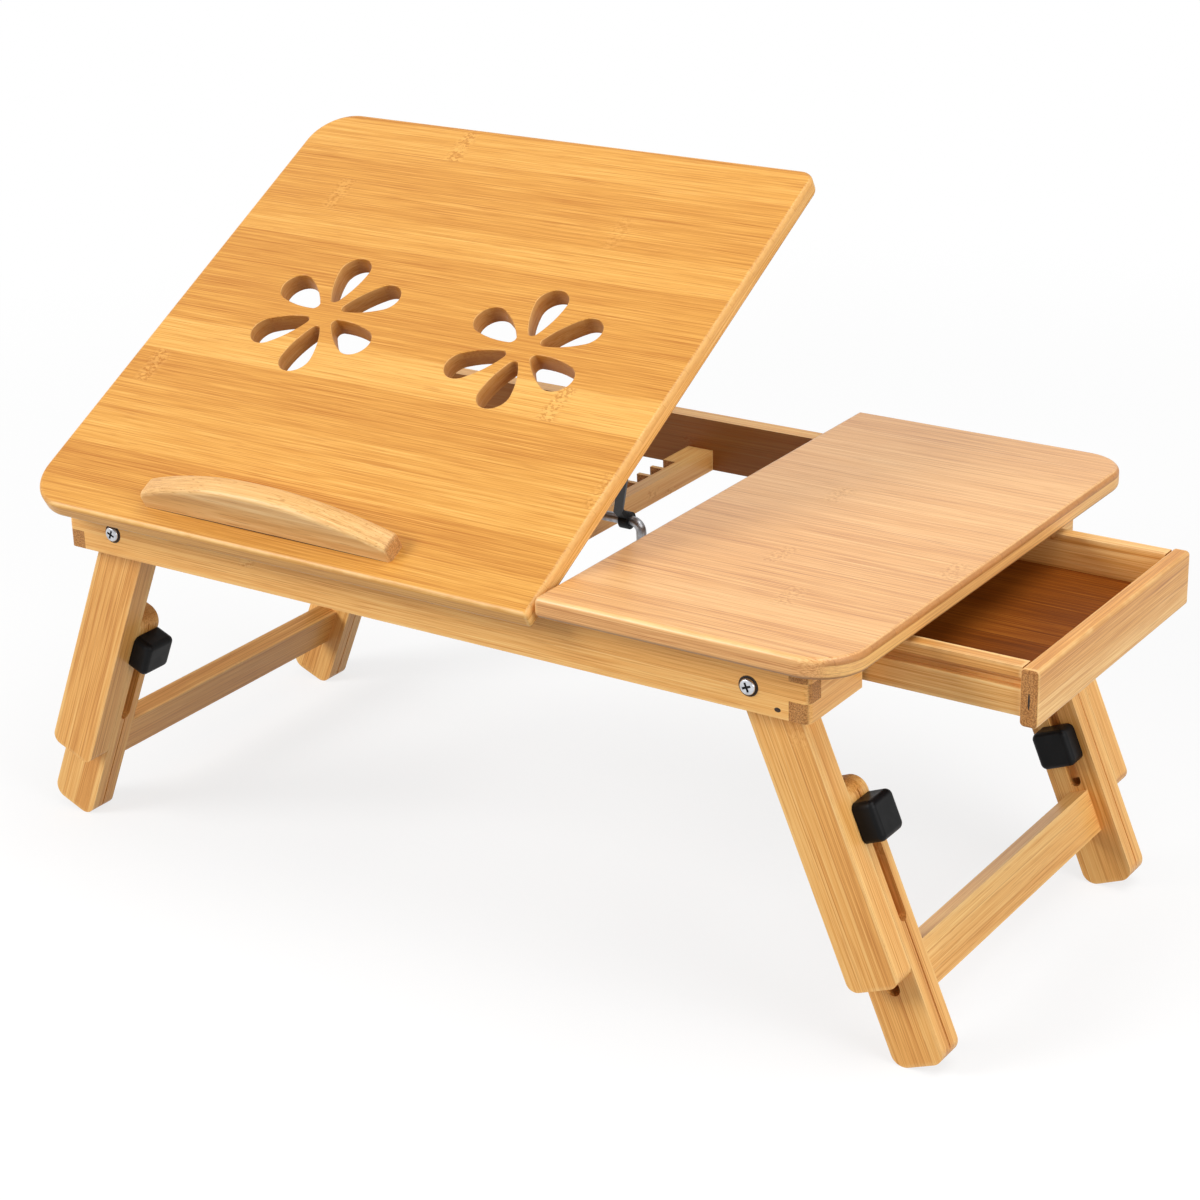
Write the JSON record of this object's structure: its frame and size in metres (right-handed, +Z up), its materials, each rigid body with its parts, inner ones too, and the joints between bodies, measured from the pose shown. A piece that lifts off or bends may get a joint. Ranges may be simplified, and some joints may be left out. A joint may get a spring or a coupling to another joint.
{
  "type": "folding floor desk",
  "caption": "Low bamboo desk with a tilting vented panel on a notched prop, a fixed side top over a drawer, and splayed folding legs with clamp knobs for height.",
  "frame": {"origin": "on the floor under the middle of the desk as it stands, drawer open and panel raised", "axes": "+X along the long side towards the drawer, +Y from the front edge to the back, +Z up"},
  "size_m": [0.6712, 0.3562, 0.4055],
  "materials": {
    "panel_bamboo": "satin lacquer",
    "stop_bamboo": "satin lacquer",
    "top_bamboo": "satin lacquer",
    "frame_bamboo": "satin lacquer",
    "leg_bamboo": "satin lacquer",
    "drawer_bamboo": "satin lacquer",
    "black_plastic": "fine matt",
    "black_steel": "black coated",
    "grey_steel": "drawn wire",
    "bright_steel": "bright zinc"
  },
  "bodies": {
    "frame": {"back_rail": "frame_bamboo", "bay_back_wall": "frame_bamboo", "bay_divider": "frame_bamboo", "bay_front_wall": "frame_bamboo", "fixed_top": "top_bamboo", "front_rail": "frame_bamboo", "hinge_pins": "bright_steel", "hinge_rail_leaf_left": "bright_steel", "hinge_rail_leaf_right": "bright_steel", "hinge_rail_screws": "bright_steel", "left_end_rail": "frame_bamboo", "pivot_bolts": "bright_steel", "pivot_nuts": "bright_steel", "prop_rack": "frame_bamboo", "right_end_back": "frame_bamboo", "right_end_front": "frame_bamboo", "runner_back": "frame_bamboo", "runner_front": "frame_bamboo"},
    "tilt_top": {"book_stop": "stop_bamboo", "hinge_panel_leaf_left": "bright_steel", "hinge_panel_leaf_right": "bright_steel", "hinge_panel_screws": "bright_steel", "prop_bracket_left": "black_steel", "prop_bracket_right": "black_steel", "prop_pins": "bright_steel", "stop_dowels": "stop_bamboo", "tilt_panel": "panel_bamboo"},
    "prop": {"prop_arm_left": "black_steel", "prop_arm_right": "black_steel", "prop_rod": "grey_steel"},
    "drawer": {"drawer_back": "drawer_bamboo", "drawer_floor": "drawer_bamboo", "drawer_front": "drawer_bamboo", "drawer_side_back": "drawer_bamboo", "drawer_side_front": "drawer_bamboo"},
    "upper_legs_left": {"guide_tongue_back_left": "leg_bamboo", "guide_tongue_front_left": "leg_bamboo", "upper_leg_back_left": "leg_bamboo", "upper_leg_front_left": "leg_bamboo"},
    "lower_legs_left": {"crossbar_left": "leg_bamboo", "lower_leg_back_left": "leg_bamboo", "lower_leg_front_left": "leg_bamboo"},
    "upper_legs_right": {"guide_tongue_back_right": "leg_bamboo", "guide_tongue_front_right": "leg_bamboo", "upper_leg_back_right": "leg_bamboo", "upper_leg_front_right": "leg_bamboo"},
    "lower_legs_right": {"crossbar_right": "leg_bamboo", "lower_leg_back_right": "leg_bamboo", "lower_leg_front_right": "leg_bamboo"},
    "knob_front_left": {"clamp_bolt_front_left": "bright_steel", "knob_front_left": "black_plastic"},
    "knob_front_right": {"clamp_bolt_front_right": "bright_steel", "knob_front_right": "black_plastic"},
    "knob_back_left": {"clamp_bolt_back_left": "bright_steel", "knob_back_left": "black_plastic"},
    "knob_back_right": {"clamp_bolt_back_right": "bright_steel", "knob_back_right": "black_plastic"}
  },
  "joints": [
    {"name": "panel_tilt", "type": "hinge", "parent": "frame", "child": "tilt_top", "pos_m": [-0.1025, -0.16, 0.2316], "axis": [1, 0, 0], "range_deg": [-29, 0]},
    {"name": "prop_fold", "type": "hinge", "parent": "tilt_top", "child": "prop", "pos_m": [-0.015, -0.05777, 0.28232], "axis": [1, 0, 0], "range_deg": [0, 72]},
    {"name": "drawer_slide", "type": "slide", "parent": "frame", "child": "drawer", "axis": [1, 0, 0], "range_m": [-0.099, 0.02]},
    {"name": "leg_fold_left", "type": "hinge", "parent": "frame", "child": "upper_legs_left", "pos_m": [-0.23538, 0, 0.215], "axis": [0, -1, 0], "range_deg": [0, 91]},
    {"name": "leg_slide_left", "type": "slide", "parent": "upper_legs_left", "child": "lower_legs_left", "axis": [0.3827, 0, 0.9239], "range_m": [0, 0.016]},
    {"name": "knob_turn_front_left", "type": "hinge", "parent": "upper_legs_left", "child": "knob_front_left", "pos_m": [-0.25496, -0.1204, 0.12489], "axis": [0.9239, 0, -0.3827], "continuous": true},
    {"name": "knob_turn_back_left", "type": "hinge", "parent": "upper_legs_left", "child": "knob_back_left", "pos_m": [-0.28848, 0.1105, 0.08682], "axis": [0, -1, 0], "continuous": true},
    {"name": "leg_fold_right", "type": "hinge", "parent": "frame", "child": "upper_legs_right", "pos_m": [0.20138, 0, 0.215], "axis": [0, 1, 0], "range_deg": [0, 91]},
    {"name": "leg_slide_right", "type": "slide", "parent": "upper_legs_right", "child": "lower_legs_right", "axis": [-0.3827, 0, 0.9239], "range_m": [0, 0.016]},
    {"name": "knob_turn_front_right", "type": "hinge", "parent": "upper_legs_right", "child": "knob_front_right", "pos_m": [0.25126, -0.1204, 0.13744], "axis": [0.9239, 0, 0.3827], "continuous": true},
    {"name": "knob_turn_back_right", "type": "hinge", "parent": "upper_legs_right", "child": "knob_back_right", "pos_m": [0.25448, 0.1105, 0.08682], "axis": [0, -1, 0], "continuous": true}
  ],
  "couplings": [
    {"joint": "prop_fold", "follows": "panel_tilt", "ratio": -2.4828}
  ]
}
